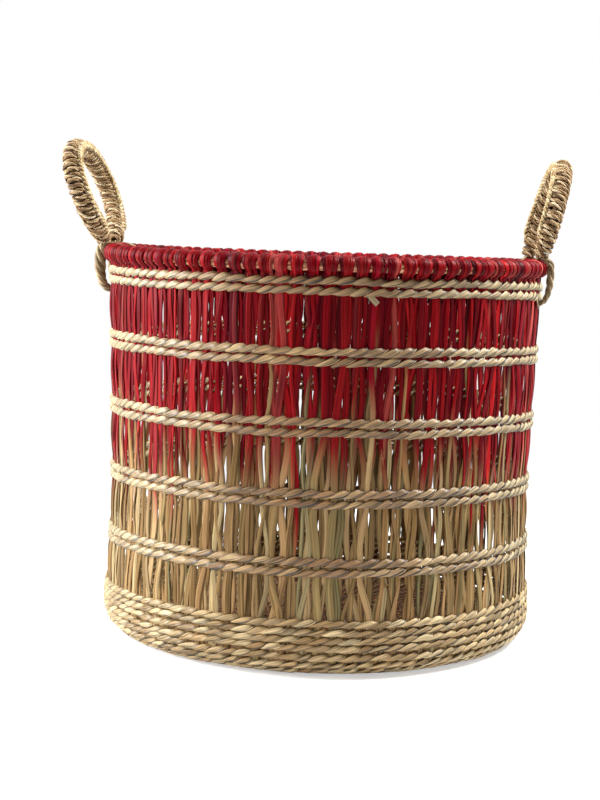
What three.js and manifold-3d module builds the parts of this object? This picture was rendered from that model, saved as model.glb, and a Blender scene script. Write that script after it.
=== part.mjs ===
import * as THREE from "three";
import { mergeVertices } from "three/addons/utils/BufferGeometryUtils.js";
import Module from "manifold-3d";

// A round open-work basket of flattened rush stems. The stems run out from the middle of the base,
// turn up as wall stakes, fold over the rim core and end inside the top band. Pairs of weavers twine
// round them as a foot and five narrow bands, and two wrapped rope handles stand on the rim.
// Sizes are in millimetres, +Z is up, and the origin is the middle of the underside.

const wasm = await Module();
wasm.setup();

// Wall
const wallHeight = 341.6; // underside to the crest of the rim
const rimRadius = 193.4; // axis of the basket to the middle of the rim core
const waistRadius = 188.3; // middle of the stakes where the wall is narrowest
const waistHeight = 135;
const footRadius = 192.6; // middle of the stakes at the top of the foot's curve
const cornerRadius = 18; // curve from the base into the wall
const cornerSteps = 4; // twined rows on that curve

// Stakes, each a bundle of about three stems
const stakeCount = 96;
const stakeWidth = 9.4;
const stakeThickness = 1.8;
const stakesPerPanel = 8; // stakes that leave the base as one panel of stems
const hubRadius = 6; // where the panels stop short of each other in the middle of the base
const panelOverlap = 4; // how far a stake runs into its panel
const panelSkin = 0.3; // stems of the panel over and under a stake's buried end

// Rim: the stakes swing out, fold over the core and run down inside the wall
const foldRadius = 6.3; // core's middle to the corners of the folded stakes' middle line
const foldAngles = [-18, 54, 140]; // of those corners, from straight out
const neckDrop = 8.4; // core's middle down to where the stakes leave the wall's line
const tailDrop = 27.6; // core's middle down to the tucked ends of the stakes

// Twined rows
const weaverDepth = 2.4; // how far a weaver stands off the stakes
const rowHeight = 8.2;
const rowCrown = 1.6; // a row's outer face is narrower than its seat by this much at each edge
const rowGap = 0.4; // between two rows that lie on each other
const bandHeights = [318, 262, 204.5, 147, 91]; // middle of each band of two rows
const footTop = 48.5;
const footUprightRows = 4; // rows on the foot's straight part, above its curve
const undersideRow = 9; // width of the foot's last row, which lies flat under the base

// Handles
const handleRadius = 9.25; // outside of the wrapping
const wrapDepth = 2.4;
const wrapWidth = 5.6;
const wrapTurns = 24;
const wrapSteps = 6; // corners in one turn, and sides of the rope core
const wrapStart = 9.5; // bare rope at each end, along its middle
const wrapSeat = 0.6; // between the rope and its wrapping
const ropeSteps = 20; // along the rope core
const endAngles = [40, 70]; // of the corners on the rope's round ends
const leftSetOut = 9.6; // the left handle's legs stand this far out from the middle of the rim core
const leftHeight = 86.5; // from the lashed ends to the top of the middle line
const leftSwell = 34.5; // how far the loop swells out sideways past its legs
const rightSetOut = 4;
const rightHeight = 76.4;
const rightSwell = 0.9;

// Lashings that tie the legs round the rim and the top band
const lashingWidth = 10;
const lashingThickness = 2.5; // over the crest of the rim
const strandThickness = 6; // down the outside and the inside of the wall
const crossingWidth = 2.6; // where it goes through the wall between two stakes
const crossingHeight = 5;

// Fits
const clearance = 0.35; // between pieces that lie against each other
const outerSides = 30; // sides of the rings outside the stakes
const innerSides = 24; // sides of the rings inside the stakes
const coreSides = 48; // sides of the rim core
const curveSamples = 12; // points along one quarter of a handle's middle line
const sharpestMitre = 0.5; // cosine of half the sharpest bend whose mitre is drawn to its point
const weldDistance = 1e-4; // corners closer than this are one corner

const roughness = 0.8;
// A handle's place on the rim and the distance of its legs from there are in stake pitches, and it
// leans out from upright by some degrees.
const handles = [
  {
    name: "handle_left",
    place: 47,
    legs: 2,
    lean: 20.7,
    setOut: leftSetOut,
    height: leftHeight,
    swell: leftSwell,
  },
  {
    name: "handle_right",
    place: 0,
    legs: 4,
    lean: 14.8,
    setOut: rightSetOut,
    height: rightHeight,
    swell: rightSwell,
  },
];

const natural = 0xc9b486;
const naturalDark = 0xa68a5a;
const red = 0xa8323a;
const darkRed = 0x8f2832;
const rope = 0xab8856;

const pitchAngle = (2 * Math.PI) / stakeCount;
const half = stakeThickness / 2;
const spokeLevel = weaverDepth + clearance + half;
const point = (x, y) => new THREE.Vector2(x, y);
const degrees = (angle) => (angle * Math.PI) / 180;
const turned = (angle, radius) => point(radius * Math.cos(angle), radius * Math.sin(angle));

// Height of the rim core's middle, and the corners where the stakes fold round it.
const rimLevel = wallHeight - half - foldRadius * Math.sin(degrees(foldAngles[1]));
const foldCorners = foldAngles.map((angle) =>
  turned(degrees(angle), foldRadius).add(point(rimRadius, rimLevel)),
);
const [foldOut, foldCrest, foldIn] = foldCorners;

// Middle of a stake as radius and height, from its panel in the base to the neck under the rim.
const cornerPoints = Array.from({ length: cornerSteps + 1 }, (_, i) =>
  turned(((i / cornerSteps - 1) * Math.PI) / 2, cornerRadius).add(
    point(footRadius - cornerRadius, spokeLevel + cornerRadius),
  ),
);
const footEnd = cornerPoints.at(-1);
const waist = point(waistRadius, waistHeight);
const neck = point(rimRadius, rimLevel - neckDrop);
const wallLine = [...cornerPoints, waist, neck];

// Radius of the stakes' middle at a height on the wall, above the foot's curve.
function wallRadius(height) {
  const [low, high] = height < waistHeight ? [footEnd, waist] : [waist, neck];
  return THREE.MathUtils.mapLinear(height, low.y, high.y, low.x, high.x);
}

const tailHeight = rimLevel - tailDrop;
const tailEnd = point(wallRadius(tailHeight) - stakeThickness - clearance, tailHeight);
const stakeLine = [
  cornerPoints[0].clone().sub(point(panelOverlap, 0)),
  ...wallLine.slice(1),
  ...foldCorners,
  tailEnd,
];

// Inner face of the tucked stake ends at a height in the top band.
function tailFace(height) {
  const slope = (foldIn.x - tailEnd.x) / (foldIn.y - tailEnd.y);
  return tailEnd.x + slope * (height - tailEnd.y) - half * Math.hypot(1, slope);
}

// Offsets a line to its right-hand side, with each bend mitred; a closed line has no ends.
function offset(line, distances, closed = false) {
  const n = line.length;
  return line.map((p, i) => {
    const before = closed || i > 0 ? p.clone().sub(line[(i + n - 1) % n]).normalize() : null;
    const after = closed || i < n - 1 ? line[(i + 1) % n].clone().sub(p).normalize() : null;
    const a = before ?? after;
    const b = after ?? before;
    const normal = point(a.y + b.y, -a.x - b.x).normalize();
    const stretch = 1 / Math.max(sharpestMitre, normal.x * a.y - normal.y * a.x);
    const distance = Array.isArray(distances) ? distances[i] : distances;
    return p.clone().add(normal.multiplyScalar(distance * stretch));
  });
}

// Skins a row of sections, each the same number of points in turn, into one closed surface.
function skin(sections, closed = false) {
  const m = sections[0].length;
  const n = sections.length;
  const positions = sections.flat().flatMap((p) => [p.x, p.y, p.z]);
  const index = [];
  for (let i = 0; i < (closed ? n : n - 1); i++) {
    for (let j = 0; j < m; j++) {
      const a = i * m + j;
      const b = i * m + ((j + 1) % m);
      const c = ((i + 1) % n) * m + j;
      const d = ((i + 1) % n) * m + ((j + 1) % m);
      index.push(a, b, d, a, d, c);
    }
  }
  for (let j = 1; j < m - 1 && !closed; j++) {
    index.push(0, j + 1, j);
    index.push((n - 1) * m, (n - 1) * m + j, (n - 1) * m + j + 1);
  }
  const geometry = new THREE.BufferGeometry();
  geometry.setAttribute("position", new THREE.Float32BufferAttribute(positions, 3));
  geometry.setIndex(index);
  return geometry;
}

// A flat strap whose right-hand and left-hand edges are two lines of radius and height.
function strap(right, left, widths, closed = false) {
  const sections = right.map((p, i) => {
    const w = (Array.isArray(widths) ? widths[i] : widths) / 2;
    const q = left[i];
    return [
      new THREE.Vector3(p.x, -w, p.y),
      new THREE.Vector3(p.x, w, p.y),
      new THREE.Vector3(q.x, w, q.y),
      new THREE.Vector3(q.x, -w, q.y),
    ];
  });
  return skin(sections, closed);
}

// A ring round the basket's axis; its profile of radius and height runs anticlockwise.
function ring(profile, sides) {
  const closedProfile = profile[0].x === 0 ? profile : [...profile, profile[0].clone()];
  return new THREE.LatheGeometry(closedProfile, sides).rotateX(Math.PI / 2);
}

// Corner radius of a ring whose flat sides have to clear this radius from outside.
const cleared = (radius, sides) => radius / Math.cos(Math.PI / sides);

// Solids for joining, and back to a geometry.
function toSolid(geometry) {
  const bare = geometry.clone();
  bare.deleteAttribute("normal");
  bare.deleteAttribute("uv");
  const merged = mergeVertices(bare, weldDistance);
  return new wasm.Manifold(
    new wasm.Mesh({
      numProp: 3,
      vertProperties: merged.attributes.position.array,
      triVerts: new Uint32Array(merged.index.array),
    }),
  );
}

function toGeometry(solid) {
  const { vertProperties, triVerts } = solid.getMesh();
  const geometry = new THREE.BufferGeometry();
  geometry.setAttribute("position", new THREE.BufferAttribute(vertProperties, 3));
  geometry.setIndex(new THREE.BufferAttribute(triVerts, 1));
  return geometry;
}

const basket = new THREE.Group();

function addPiece(name, geometry, colour, parent = basket) {
  const material = new THREE.MeshStandardMaterial({ color: colour, roughness, metalness: 0 });
  const mesh = new THREE.Mesh(geometry, material);
  mesh.name = name;
  parent.add(mesh);
  return mesh;
}

// Stems of one panel: a slice of the base, from which its stakes run out, up and over the rim.
function stakePanel(panel) {
  const right = offset(stakeLine, half);
  const left = offset(stakeLine, -half);
  right[0].y += panelSkin;
  left[0].y -= panelSkin;
  const panelAngle = stakesPerPanel * pitchAngle;
  const start = panel * panelAngle;
  const outer = cornerPoints[0].x;
  const inset = (radius) => clearance / 2 / radius;
  const slice = new THREE.Shape();
  const steps = stakesPerPanel;
  for (let i = 0; i <= steps; i++) {
    const from = start + inset(outer);
    const p = turned(from + ((panelAngle - 2 * inset(outer)) * i) / steps, outer);
    i === 0 ? slice.moveTo(p.x, p.y) : slice.lineTo(p.x, p.y);
  }
  for (const end of [panelAngle - inset(hubRadius), inset(hubRadius)]) {
    const p = turned(start + end, hubRadius);
    slice.lineTo(p.x, p.y);
  }
  const plate = new THREE.ExtrudeGeometry(slice, { depth: stakeThickness, bevelEnabled: false });
  let solid = toSolid(plate.translate(0, 0, spokeLevel - half));
  for (let i = 0; i < stakesPerPanel; i++) {
    const stake = strap(right, left, stakeWidth).rotateZ(start + (i + 0.5) * pitchAngle);
    solid = solid.add(toSolid(stake));
  }
  return toGeometry(solid);
}

// A twined row outside the stakes, between two points of the wall's middle line.
function outerRow(low, high) {
  const [a, b] = offset([low, high], half + clearance);
  const [c, d] = offset([low, high], half + clearance + weaverDepth);
  const inward = high.clone().sub(low).setLength(rowCrown);
  const corners = [a, c.add(inward), d.sub(inward), b];
  return ring(corners.map((p) => point(cleared(p.x, outerSides), p.y)), outerSides);
}

// Lining of twined rows inside the stakes, along a line that climbs.
function innerLining(line, standoff) {
  const face = offset(line, -standoff);
  const back = offset(line, -standoff - weaverDepth);
  return ring([...back.reverse(), ...face], innerSides);
}

function makeBase() {
  const disc = (low, radius, sides) => {
    const high = low + weaverDepth;
    return ring([point(0, low), point(radius, low), point(radius, high), point(0, high)], sides);
  };
  const edge = cornerPoints[0].x;
  const lower = disc(0, edge - undersideRow - clearance, outerSides);
  const upper = disc(spokeLevel + half + clearance, edge - panelOverlap, innerSides);
  addPiece("base_lower_twining", lower, natural);
  addPiece("base_upper_twining", upper, natural);
}

function makeFoot() {
  const rows = [[cornerPoints[0].clone().sub(point(undersideRow, 0)), cornerPoints[0]]];
  for (let i = 0; i < cornerSteps; i++) rows.push([cornerPoints[i], cornerPoints[i + 1]]);
  const rise = (footTop - footEnd.y) / footUprightRows;
  for (let i = 0; i < footUprightRows; i++) {
    const ends = [footEnd.y + rise * i, footEnd.y + rise * (i + 1)];
    rows.push(ends.map((z) => point(wallRadius(z), z)));
  }
  rows.forEach(([low, high], i) => {
    const trim = high.clone().sub(low).setLength(rowGap / 2);
    const row = outerRow(low.clone().add(trim), high.clone().sub(trim));
    addPiece(`foot_row_${rows.length - i}`, row, natural);
  });
  const line = [...cornerPoints.slice(1), point(wallRadius(footTop), footTop)];
  addPiece("foot_inner_twining", innerLining(line, half + clearance), naturalDark);
}

function makeBands() {
  bandHeights.forEach((middle, i) => {
    const at = (z) => point(wallRadius(z), z);
    const name = `band_${i + 1}`;
    const near = rowGap / 2;
    const upper = outerRow(at(middle + near), at(middle + near + rowHeight));
    const lower = outerRow(at(middle - near - rowHeight), at(middle - near));
    addPiece(`${name}_upper_row`, upper, natural);
    addPiece(`${name}_lower_row`, lower, natural);
    const ends = [middle - rowHeight, middle + rowHeight];
    const overTails = i === 0;
    const line = ends.map((z) => point(overTails ? tailFace(z) : wallRadius(z), z));
    const standoff = overTails ? clearance : half + clearance;
    addPiece(`${name}_inner_rows`, innerLining(line, standoff), naturalDark);
  });
}

function makeRimCore() {
  const foot = point(foldIn.x + stakeThickness, rimLevel - foldRadius);
  const corners = offset([foot, ...foldCorners], -half - clearance, true);
  addPiece("rim_core", ring(corners, coreSides), natural);
}

// Lashing in the plane through a leg: over the crest, down both faces and through the wall.
const lashingMiddle = wallHeight + clearance + lashingThickness / 2;
const lashingCrest = lashingMiddle + lashingThickness / 2;
function lashing(legRadius) {
  const bandLow = bandHeights[0] - rowHeight;
  const crossing = bandLow - 2 * clearance - crossingHeight;
  const outside = foldOut.x + half + 2 * clearance + strandThickness / 2;
  const tails = tailFace(bandHeights[0] + rowHeight);
  const lining = (tails - clearance - weaverDepth) * Math.cos(Math.PI / innerSides);
  const inside = Math.min(lining, foldIn.x - half) - 2 * clearance - strandThickness / 2;
  const wall = wallRadius(crossing);
  const reach = half + weaverDepth + 2 * clearance;
  const crest = Math.max(foldCrest.x + lashingThickness, legRadius);
  const shape = [
    [point(crest, lashingMiddle), lashingThickness, lashingWidth],
    [point(foldIn.x - half, lashingMiddle), lashingThickness, lashingWidth],
    [point(inside, rimLevel), strandThickness, lashingWidth],
    [point(inside, bandHeights[0]), strandThickness, lashingWidth],
    [point(inside, crossing + crossingHeight), strandThickness, lashingWidth],
    [point(wall - reach, crossing), crossingHeight, crossingWidth],
    [point(wall + reach, crossing), crossingHeight, crossingWidth],
    [point(outside, crossing + crossingHeight), strandThickness, lashingWidth],
    [point(outside, bandHeights[0]), strandThickness, lashingWidth],
    [point(outside, rimLevel), strandThickness, lashingWidth],
  ];
  const line = shape.map(([p]) => p);
  const halves = shape.map(([, thickness]) => thickness / 2);
  const widths = shape.map(([, , width]) => width);
  const outer = offset(line, halves, true);
  const inner = offset(line, halves.map((h) => -h), true);
  return strap(outer, inner, widths, true);
}

// Middle line of a handle in its own plane: legs that curve out to its widest, then half an ellipse.
function handleCurve(height, swell, legOffset) {
  const halfWidth = legOffset + swell;
  // The leg's parabola and the ellipse meet at this height with the same curvature.
  const swellHeight = height / (1 + Math.sqrt(halfWidth / (2 * swell)));
  const leg = Array.from({ length: curveSamples }, (_, i) => {
    const t = i / curveSamples;
    return new THREE.Vector3(0, halfWidth - swell * (1 - t) ** 2, swellHeight * t);
  });
  const arch = Array.from({ length: 2 * curveSamples + 1 }, (_, i) => {
    const t = (Math.PI * i) / (2 * curveSamples);
    const top = height - swellHeight;
    return new THREE.Vector3(0, halfWidth * Math.cos(t), swellHeight + top * Math.sin(t));
  });
  const mirrored = leg.map((p) => new THREE.Vector3(0, -p.y, p.z)).reverse();
  return new THREE.CatmullRomCurve3([...leg, ...arch, ...mirrored]);
}

// Point beside a handle's middle line: distance u along it, angle a round it, radius out and slip on.
function besideCurve(curve, u, angle, radius, slip = 0) {
  const along = curve.getTangentAt(u);
  const across = new THREE.Vector3(0, along.z, -along.y);
  const out = new THREE.Vector3(Math.sin(angle), 0, 0).addScaledVector(across, Math.cos(angle));
  return curve.getPointAt(u).addScaledVector(out, radius).addScaledVector(along, slip);
}

const wrapRadius = handleRadius - wrapDepth / 2;
const flat = Math.cos(Math.PI / wrapSteps); // a side's distance from the middle per unit of radius
const ropeRadius = wrapRadius - (wrapDepth / 2 + wrapSeat) / flat;
const hingeLevel = lashingCrest + clearance + ropeRadius;

// The rope's ends are round, so that they can roll on the lashings.
function handleRope(curve) {
  const section = (u, radius, slip) =>
    Array.from({ length: wrapSteps }, (_, j) =>
      besideCurve(curve, u, (-2 * Math.PI * j) / wrapSteps, radius, slip),
    );
  const sections = Array.from({ length: ropeSteps + 1 }, (_, i) => section(i / ropeSteps, ropeRadius, 0));
  for (const t of endAngles.map(degrees)) {
    const radius = ropeRadius * Math.cos(t);
    const slip = ropeRadius * Math.sin(t);
    sections.unshift(section(0, radius, -slip));
    sections.push(section(1, radius, slip));
  }
  return skin(sections);
}

// The wrapping is one unbroken strand; it also gives the least gap between its turns.
function handleWrap(curve) {
  const length = curve.getLength();
  const steps = wrapTurns * wrapSteps;
  const sections = Array.from({ length: steps + 1 }, (_, i) => {
    const u = (wrapStart + ((length - 2 * wrapStart) * i) / steps) / length;
    const angle = (2 * Math.PI * i) / wrapSteps;
    const corner = (dr, dx) => besideCurve(curve, u, angle, wrapRadius + dr, dx);
    const r = wrapDepth / 2;
    const w = wrapWidth / 2;
    return [corner(r, -w), corner(r, w), corner(-r, w), corner(-r, -w)];
  });
  let gap = Infinity;
  for (let i = 0; i + wrapSteps <= steps; i++) {
    for (const [a, b] of [[1, 0], [2, 3]]) {
      const next = sections[i + wrapSteps][b];
      gap = Math.min(gap, sections[i][a].distanceTo(next));
    }
  }
  return { geometry: skin(sections), gap };
}

function makeHandle({ name, place, legs, setOut, height, swell, lean }) {
  const legAngle = legs * pitchAngle;
  const legRadius = rimRadius + setOut;
  const curve = handleCurve(height, swell, legRadius * Math.sin(legAngle));
  const side = new THREE.Group();
  side.rotation.z = place * pitchAngle;
  basket.add(side);
  const hinge = new THREE.Group();
  hinge.position.set(legRadius * Math.cos(legAngle), 0, hingeLevel);
  hinge.rotation.y = degrees(lean);
  side.add(hinge);
  addPiece(`${name}_rope`, handleRope(curve), naturalDark, hinge);
  const wrap = handleWrap(curve);
  console.log(`${name}_wrapping: least gap between turns ${wrap.gap.toFixed(2)} mm`);
  addPiece(`${name}_wrapping`, wrap.geometry, rope, hinge);
  for (const [leg, sign] of [["first", -1], ["second", 1]]) {
    const tie = addPiece(`${name}_${leg}_lashing`, lashing(legRadius), rope, side);
    tie.rotation.z = sign * legAngle;
  }
}

for (let i = 0; i < stakeCount / stakesPerPanel; i++) {
  const number = String(i + 1).padStart(2, "0");
  addPiece(`stakes_${number}`, stakePanel(i), i % 2 ? red : darkRed);
}
makeBase();
makeFoot();
makeBands();
makeRimCore();
handles.forEach(makeHandle);

export default basket;
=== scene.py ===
import bpy
import numpy as np
from mathutils import Matrix


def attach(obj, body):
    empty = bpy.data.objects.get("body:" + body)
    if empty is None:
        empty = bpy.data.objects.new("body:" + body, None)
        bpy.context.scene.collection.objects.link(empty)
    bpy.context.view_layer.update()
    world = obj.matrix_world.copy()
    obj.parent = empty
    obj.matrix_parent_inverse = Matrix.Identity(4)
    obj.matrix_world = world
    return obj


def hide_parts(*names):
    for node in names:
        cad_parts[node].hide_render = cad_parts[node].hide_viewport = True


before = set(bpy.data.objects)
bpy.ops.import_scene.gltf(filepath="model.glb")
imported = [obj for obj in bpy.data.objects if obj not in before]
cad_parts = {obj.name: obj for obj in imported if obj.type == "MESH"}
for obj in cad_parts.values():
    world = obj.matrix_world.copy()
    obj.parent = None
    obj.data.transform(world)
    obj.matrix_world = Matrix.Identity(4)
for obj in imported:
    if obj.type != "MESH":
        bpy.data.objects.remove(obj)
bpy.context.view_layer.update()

# A round open-work basket of twined rush stems, dip-dyed red from the rim down, with two wrapped
# rope handles. Lengths are in metres and angles in radians.

turn = 2 * np.pi

basket = {
    "bundles": 96,  # bundles of stems all the way round
    "rimRadius": 0.1934,  # from the axis to the middle of the rim's core
    "rimLevel": 0.3352,
    "neckLevel": 0.3272,  # where the stems leave the wall's line
    "waistRadius": 0.1883,
    "waistLevel": 0.135,
    "footRadius": 0.1926,  # at the top of the foot's curve
    "cornerRadius": 0.018,
    "spokeLevel": 0.00365,  # of the stems in the base
    "footTop": 0.0485,
    "bandLevels": [0.318, 0.262, 0.2045, 0.147, 0.091],
    "rowHeight": 0.0082,  # of one twined row, half a band
}
pitch = turn / basket["bundles"]  # angle from one bundle to the next
pitchWidth = pitch * basket["rimRadius"]
cornerLevel = basket["spokeLevel"] + basket["cornerRadius"]
cornerMiddle = basket["footRadius"] - basket["cornerRadius"]  # radius at which the base turns up


# Radius of the stems' middle at a height: straight in to the waist, and straight out to the neck.
def wallRadius(z):
    levels = [cornerLevel, basket["waistLevel"], basket["neckLevel"]]
    return np.interp(z, levels, [basket["footRadius"], basket["waistRadius"], basket["rimRadius"]])


def unit(v):  # the same directions, each 1 long
    return v / np.maximum(np.linalg.norm(v, axis=-1, keepdims=True), 1e-12)


# Point at a radius and height round the axis: (r cos angle, r sin angle, z).
def around(angle, r, z):
    angle, r, z = np.broadcast_arrays(angle, r, z)
    return np.stack([r * np.cos(angle), r * np.sin(angle), z], -1)


def smooth(low, high, x):  # 0 below low, 1 above high, an S-curve between
    t = np.clip((x - low) / (high - low), 0, 1)
    return t * t * (3 - 2 * t)


# Noise of an angle that closes on itself: a sum of whole waves with chance phases, about -1 to 1.
def ripple(dice, angle, lowest, highest, waves=6):
    counts = dice.integers(lowest, highest + 1, waves)
    phases = dice.uniform(0, turn, waves)
    return np.sin(np.asarray(angle)[..., None] * counts + phases).sum(-1) / np.sqrt(2 * waves)


# Carries a closed profile along many paths at once. A corner is
# centre + across * px * halfWidth + outward * py * halfDepth, with across = outward x direction.
# The UV map holds metres along the path and turns round the profile; "tone" holds chance numbers,
# and on the twined rows also painted light at the basket's sides.
def sweep(name, centres, outward, halfWidth, halfDepth, profile, tone, loop=False):
    paths, steps = centres.shape[:2]
    sides = len(profile)
    if loop:
        ahead = np.roll(centres, -1, 1) - np.roll(centres, 1, 1)
    else:
        ahead = np.gradient(centres, axis=1)
    ahead = unit(ahead)
    outward = unit(outward - (outward * ahead).sum(-1, keepdims=True) * ahead)
    across = np.cross(outward, ahead)
    halfWidth = np.broadcast_to(halfWidth, (paths, steps))[..., None, None]
    halfDepth = np.broadcast_to(halfDepth, (paths, steps))[..., None, None]
    corners = centres[:, :, None] + across[:, :, None] * profile[:, :1] * halfWidth
    corners = corners + outward[:, :, None] * profile[:, 1:] * halfDepth

    spans = steps if loop else steps - 1
    path, i, j = np.meshgrid(np.arange(paths), np.arange(spans), np.arange(sides), indexing="ij")
    nextI, nextJ = (i + 1) % steps, (j + 1) % sides
    quads = np.stack([
        (path * steps + i) * sides + j,
        (path * steps + i) * sides + nextJ,
        (path * steps + nextI) * sides + nextJ,
        (path * steps + nextI) * sides + j,
    ], -1).reshape(-1, 4)
    hops = np.linalg.norm(np.roll(centres, -1, 1) - centres, axis=-1)
    along = np.concatenate([np.zeros((paths, 1)), np.cumsum(hops, 1)], 1)
    uvs = np.stack([
        np.stack([along[path, i], j / sides], -1),
        np.stack([along[path, i], (j + 1) / sides], -1),
        np.stack([along[path, i + 1], (j + 1) / sides], -1),
        np.stack([along[path, i + 1], j / sides], -1),
    ], -2).reshape(-1, 2)
    loops = quads.ravel()
    starts = np.arange(0, loops.size, 4)
    if not loop:  # a flat cap on each end
        first = (np.arange(paths) * steps * sides)[:, None]
        ring = np.arange(sides)
        caps = np.stack([first + ring[::-1], first + (steps - 1) * sides + ring], 1).reshape(-1, sides)
        turns = np.stack([ring[::-1], ring], 0)[None].repeat(paths, 0).reshape(-1) / sides
        ends = np.stack([along[:, 0], along[:, steps - 1]], 1).reshape(-1).repeat(sides)
        starts = np.concatenate([starts, loops.size + np.arange(0, caps.size, sides)])
        loops = np.concatenate([loops, caps.ravel()])
        uvs = np.concatenate([uvs, np.stack([ends, turns], -1)])
    tones = np.broadcast_to(tone[..., None, :], (*corners.shape[:3], 4))
    return addMesh(name, corners.reshape(-1, 3), loops, starts, uvs, tones.reshape(-1, 4))


def addMesh(name, corners, loops, starts, uvs, tones):
    mesh = bpy.data.meshes.new(name)
    mesh.vertices.add(len(corners))
    mesh.vertices.foreach_set("co", corners.astype(np.float32).ravel())
    mesh.loops.add(len(loops))
    mesh.loops.foreach_set("vertex_index", loops.astype(np.int32))
    mesh.polygons.add(len(starts))
    mesh.polygons.foreach_set("loop_start", starts.astype(np.int32))
    mesh.update(calc_edges=True)
    mesh.uv_layers.new(name="UVMap").uv.foreach_set("vector", uvs.astype(np.float32).ravel())
    attribute = mesh.attributes.new("tone", "FLOAT_COLOR", "POINT")
    attribute.data.foreach_set("color", tones.astype(np.float32).ravel())
    mesh.shade_smooth()
    mesh.validate()
    piece = bpy.data.objects.new(name, mesh)
    bpy.context.scene.collection.objects.link(piece)
    return piece


# Closed round profile of a strand: the points (cos angle, sin angle).
def oval(sides):
    angle = turn * np.arange(sides) / sides
    return np.stack([np.cos(angle), np.sin(angle)], -1)


class Wire:  # one socket of a material's nodes; arithmetic on it adds Math nodes
    def __init__(self, tree, socket=None):
        self.tree = tree
        self.socket = socket

    # Adds a node: its type, its settings first, then the values or links of its sockets.
    def node(self, kind, settings, sockets, output=0):
        made = self.tree.nodes.new("ShaderNode" + kind)
        for name, value in settings.items():
            if name == "stops":
                for k, (place, colour) in enumerate(value):
                    stops = made.color_ramp.elements
                    stop = stops[k] if k < len(stops) else stops.new(place)
                    stop.position = place
                    stop.color = colour
            else:
                setattr(made, name, value)
        for name, value in sockets.items():
            if isinstance(value, Wire):
                self.tree.links.new(value.socket, made.inputs[name])
            else:
                made.inputs[name].default_value = value
        return Wire(self.tree, made.outputs[output] if made.outputs else None)

    def maths(self, operation, *values):
        return self.node("Math", {"operation": operation}, dict(enumerate(values)))

    def __add__(self, other):
        return self.maths("ADD", self, other)

    def __sub__(self, other):
        return self.maths("SUBTRACT", self, other)

    def __rsub__(self, other):
        return self.maths("SUBTRACT", other, self)

    def __mul__(self, other):
        return self.maths("MULTIPLY", self, other)

    def __truediv__(self, other):
        return self.maths("DIVIDE", self, other)

    __radd__ = __add__
    __rmul__ = __mul__

    def clamped(self):
        return self.maths("MINIMUM", self.maths("MAXIMUM", self, 0.0), 1.0)

    def mix(self, factor, first, second, blend="MIX"):  # colours
        settings = {"data_type": "RGBA", "blend_type": blend}
        return self.node("Mix", settings, {0: factor, 6: first, 7: second}, 2)


def linear(red, green, blue):  # a colour from its 0 to 255 screen values
    c = np.array([red, green, blue]) / 255
    c = np.where(c <= 0.04045, c / 12.92, ((c + 0.055) / 1.055) ** 2.4)
    return (*c.tolist(), 1.0)


def evenStops(colours):
    return [(k / (len(colours) - 1), linear(*c)) for k, c in enumerate(colours)]


# What the fibres have in common.
fibre = {
    "apart": (37.0, 23.0, 51.0, 17.0),  # these set each strand's noises apart from the others'
    "patchRing": 0.5,  # how much the patches change round a strand
    "dyeRange": 0.4,  # the height that 1 in tone's blue stands for
    "dyeRagged": 1.6,  # how far the streaks shift the dye's end
    "paleSheenFrom": 1.1,  # sum of brightness and tone's blue from which a strand turns to the pale colour of the painted sheen
    "edgePower": 6.0,  # how narrow the painted shade at the strands' edges is
    "bumpDepth": 0.0004,
    "roughPatches": 0.25,
}
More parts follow.
